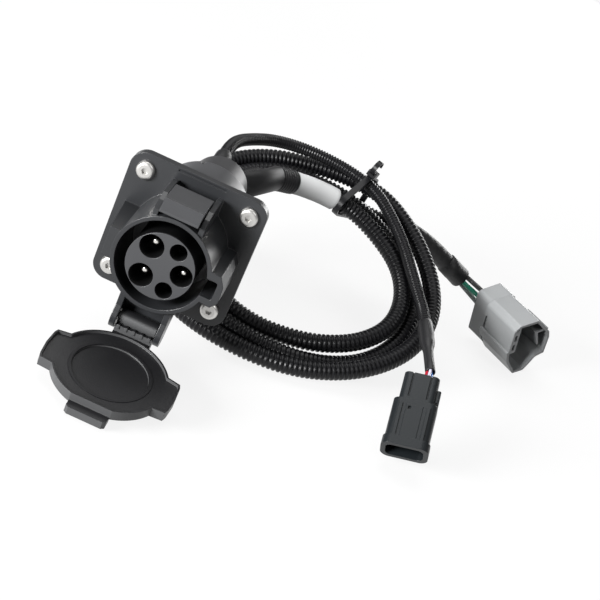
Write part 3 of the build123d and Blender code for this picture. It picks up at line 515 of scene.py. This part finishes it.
# Grey connector. Moulded grey housing, narrower at the back, with a paler terminal
# holder standing in its mouth and three flat silver-plated blades, one in each window.
connector_grey = material("connector_grey_plastic", (0.31, 0.32, 0.325), 0.42, grain=0.1, edge=0.0005)
dress(nodes["power_connector"], connector_grey)
holder_grey = material("holder_grey_plastic", (0.5, 0.51, 0.52), 0.45, edge=0.0003)
dress(nodes["power_holder"], holder_grey)
dress(nodes["power_blades"], silver)

# Signal leads. Thin wires in red, white and blue vinyl, which show for a few millimetres
# between the heat-shrink sleeve and the black connector. Rows are as for the power leads,
# and snug is the share of its width that the bundle keeps at that many millimetres.
signal_lead_radius = 0.00085
fine_row = 2.2
fine_row_middle = 2.4
black_across = Vector((0.968, -0.037, 0.248))
black_axis = Vector((0.105, -0.839, -0.536))
in_black = seat(Vector((0.1385, 0.0163, -0.0239)), black_across, black_axis)
sleeve_start = signal_route[-1] - shrink_way * shrink_over
for name, (a, b), row, colour, slot in (
    ("red_lead", (-1.05, -0.6), -1, (0.50, 0.01, 0.03), "lead_red"),
    ("white_lead", (0, 1.2), 0, (0.62, 0.60, 0.72), "lead_white"),
    ("blue_lead", (1.05, -0.6), 1, (0.01, 0.15, 0.55), "lead_blue"),
):
    vinyl = material(name + "_vinyl", colour, 0.35, mottle=0.03)
    route = []
    for along, snug in ((12, 1), (25, 0.88), (37, 0.98), (48, 0.96)):
        in_sleeve = seat(sleeve_start + shrink_way * along / 1000, Vector((1, 0.166, 0)), shrink_way)
        route.append(in_sleeve(a * snug, b * snug, 0))
    route.append(in_black(fine_row_middle + row * fine_row, 0, 0))
    lead(name, route, signal_lead_radius, vinyl)

# Black connector. Moulded housing with a wider hood round its oblong mouth, and three
# slim silver-plated terminals standing in the mouth.
connector_black = material(
    "connector_black_plastic", (0.007, 0.009, 0.0105), 0.38, grain=0.1, specular=0.4, edge=0.0004,
)
dress(nodes["signal_connector"], connector_black)
dress(nodes["signal_terminals"], silver)

# Floor. White paper just under the object, which keeps a faint shadow; it is seen white
# by the camera and in gloss, and throws little light back.
floor_gap = 0.00004
bpy.ops.mesh.primitive_plane_add(size=12, location=(0, 0, cad_box[0][2] - floor_gap))
floor = bpy.context.active_object
floor.name = "floor"
paper = bpy.data.materials.new("paper")
paper.use_nodes = True
sheet = paper.node_tree
lit = sheet.nodes["Principled BSDF"]
lit.inputs["Base Color"].default_value = (0.9, 0.9, 0.9, 1)
lit.inputs["Roughness"].default_value = 0.9
white = sheet.nodes.new("ShaderNodeEmission")
white.inputs["Strength"].default_value = 1.0
shaded = sheet.nodes.new("ShaderNodeMixShader")
shaded.inputs["Fac"].default_value = 0.85
sheet.links.new(lit.outputs["BSDF"], shaded.inputs[1])
sheet.links.new(white.outputs["Emission"], shaded.inputs[2])
dim = sheet.nodes.new("ShaderNodeBsdfDiffuse")
dim.inputs["Color"].default_value = (0.06, 0.06, 0.06, 1)
ray = sheet.nodes.new("ShaderNodeLightPath")
seen = sheet.nodes.new("ShaderNodeMath")
seen.operation = "MAXIMUM"
sheet.links.new(ray.outputs["Is Camera Ray"], seen.inputs[0])
sheet.links.new(ray.outputs["Is Glossy Ray"], seen.inputs[1])
either = sheet.nodes.new("ShaderNodeMixShader")
sheet.links.new(seen.outputs["Value"], either.inputs["Fac"])
sheet.links.new(dim.outputs["BSDF"], either.inputs[1])
sheet.links.new(shaded.outputs["Shader"], either.inputs[2])
sheet.links.new(either.outputs["Shader"], sheet.nodes["Material Output"].inputs["Surface"])
dress(floor, paper)

# Studio. Plain soft light: the main box low in front on the left, weak ones from the
# right, above and behind, and surroundings that the camera sees white.


def softbox(name, at, aim, size, watts):
    lamp = bpy.data.lights.new(name, "AREA")
    lamp.shape = "RECTANGLE"
    lamp.size, lamp.size_y = size
    lamp.energy = watts
    holder = bpy.data.objects.new(name, lamp)
    scene.collection.objects.link(holder)
    holder.location = at
    holder.rotation_euler = (Vector(aim) - Vector(at)).to_track_quat("-Z", "Y").to_euler()


coil_middle = (0.05, 0.05, -0.02)
softbox("key", (-0.95, -1.1, 0.42), (0.0, -0.02, 0.0), (0.6, 0.5), 56)
softbox("fill", (0.9, -0.9, 1.2), coil_middle, (0.8, 0.8), 5)
softbox("top", (-0.3, 0.5, 1.4), coil_middle, (1.5, 1.2), 14)
softbox("rear", (0.6, 1.2, 0.15), (0.08, 0.1, -0.02), (0.9, 0.3), 7)
world = bpy.data.worlds.new("studio")
scene.world = world
world.use_nodes = True
air = world.node_tree
air.nodes["Background"].inputs["Color"].default_value = (1, 1, 1, 1)
sight = air.nodes.new("ShaderNodeLightPath")
shown = air.nodes.new("ShaderNodeMath")
shown.operation = "MULTIPLY_ADD"
air.links.new(sight.outputs["Is Glossy Ray"], shown.inputs[0])
shown.inputs[1].default_value = 0.2
air.links.new(sight.outputs["Is Camera Ray"], shown.inputs[2])
glare = air.nodes.new("ShaderNodeMapRange")
glare.inputs["To Min"].default_value = 0.05
glare.inputs["To Max"].default_value = 1.0
air.links.new(shown.outputs["Value"], glare.inputs["Value"])
air.links.new(glare.outputs["Result"], air.nodes["Background"].inputs["Strength"])
scene.view_settings.view_transform = "Standard"

# Camera. A long portrait lens in front of the socket and a little to its right, which
# looks down at about 25 degrees and is rolled about as far.
camera_place = Vector((0.0642, -0.6341, 0.2968))
camera_right = Vector((0.9094, 0.1768, 0.3766)).normalized()
camera_back = Vector((-0.0019, -0.9035, 0.4286)).normalized()
camera_up = camera_back.cross(camera_right).normalized()
camera_right = camera_up.cross(camera_back)
camera = bpy.data.objects.new("camera", bpy.data.cameras.new("camera"))
scene.collection.objects.link(camera)
camera.data.lens = 86.1
camera.data.sensor_width = 36.0
camera.data.clip_start = 0.05
turn = Matrix((camera_right, camera_up, camera_back)).transposed().to_4x4()
camera.matrix_world = Matrix.Translation(camera_place) @ turn
scene.camera = camera
